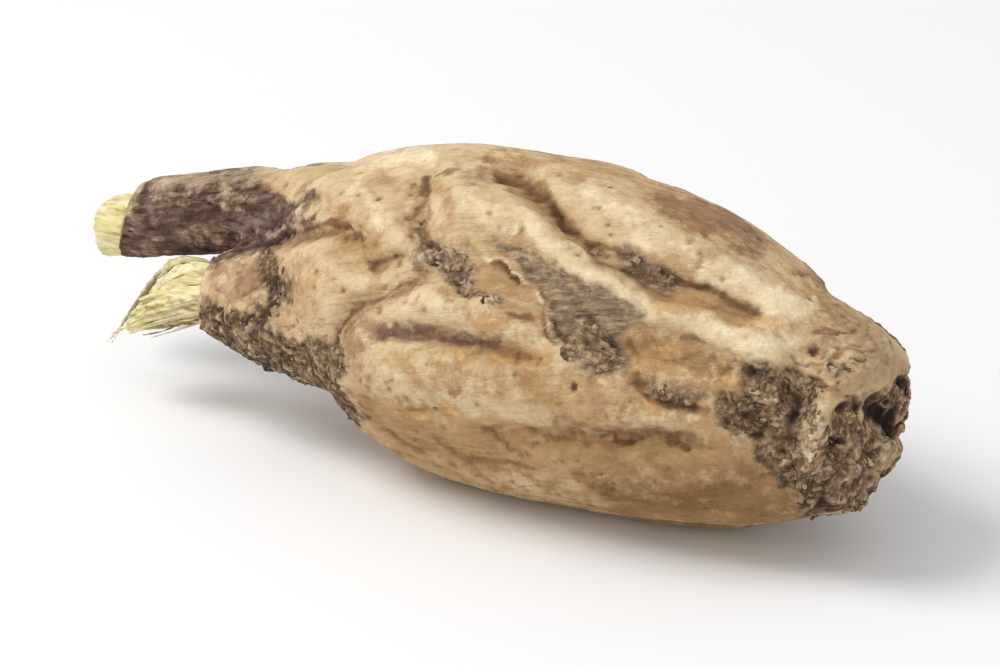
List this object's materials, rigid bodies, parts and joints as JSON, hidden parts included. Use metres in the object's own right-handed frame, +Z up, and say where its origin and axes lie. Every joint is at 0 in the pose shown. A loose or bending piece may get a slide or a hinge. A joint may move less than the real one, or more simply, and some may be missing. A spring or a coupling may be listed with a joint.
{
  "type": "white behen root",
  "caption": "Dried, forked taproot with a furrowed pale tan body, cut crown necks and a blunt end, lying on its flattened belly.",
  "frame": {"origin": "under the middle of the root's box, on the surface that its belly rests on", "axes": "+X along the root, from the cut necks to the blunt end; +Z up"},
  "size_m": [0.0876, 0.0336, 0.0308],
  "materials": {
    "root_skin": "dry, dull, wrinkled root skin, pale tan on the ridges and grey-brown in the furrows, with dark bark on the necks and bare pale wood at their cut ends"
  },
  "bodies": {
    "root": {"white_behen_root": "root_skin"}
  },
  "joints": []
}
